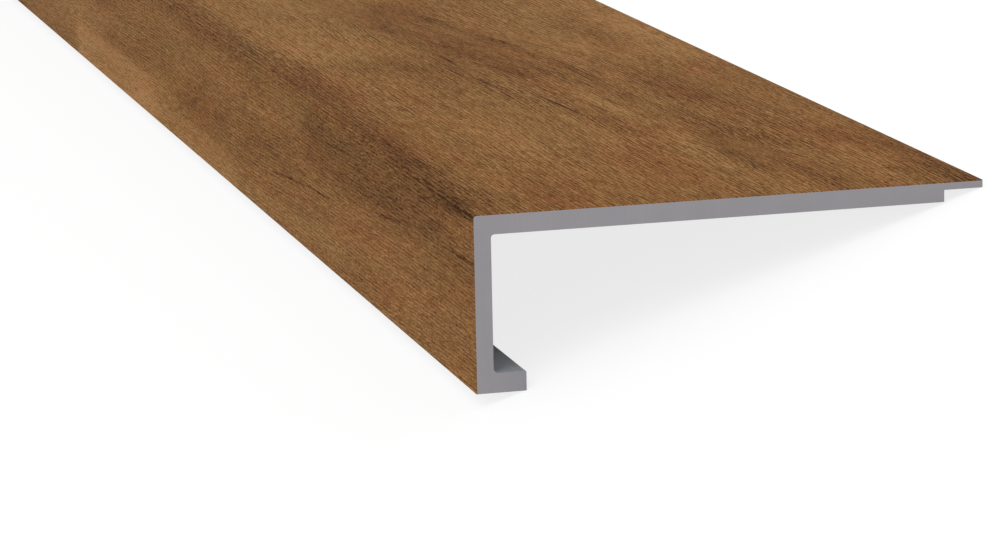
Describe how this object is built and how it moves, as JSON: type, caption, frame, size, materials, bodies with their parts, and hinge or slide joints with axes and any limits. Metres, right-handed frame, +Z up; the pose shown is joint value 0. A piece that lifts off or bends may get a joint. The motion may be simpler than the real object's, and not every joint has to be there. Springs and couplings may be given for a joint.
{
  "type": "landing nosing",
  "caption": "Rigid vinyl landing nosing: a film-covered plate and front leg for a landing edge, with a hooked lip below and a thin lapping tongue behind.",
  "frame": {"origin": "middle of the footprint, on the floor that the profile lies on", "axes": "+Y along the length, +X from the nose down the slope towards the tongue, +Z up; the profile lies as it rests unheld, film up, tilted 19.68 degrees about its length"},
  "size_m": [0.153, 1.219, 0.0505],
  "materials": {
    "rigid_core": "extruded stone-filled rigid vinyl, mid grey, matte",
    "wood_film": "printed and lightly embossed wood-grain vinyl film with a satin wear coat"
  },
  "bodies": {
    "root": {"core_profile": "rigid_core", "wood_grain_film": "wood_film"}
  },
  "joints": []
}
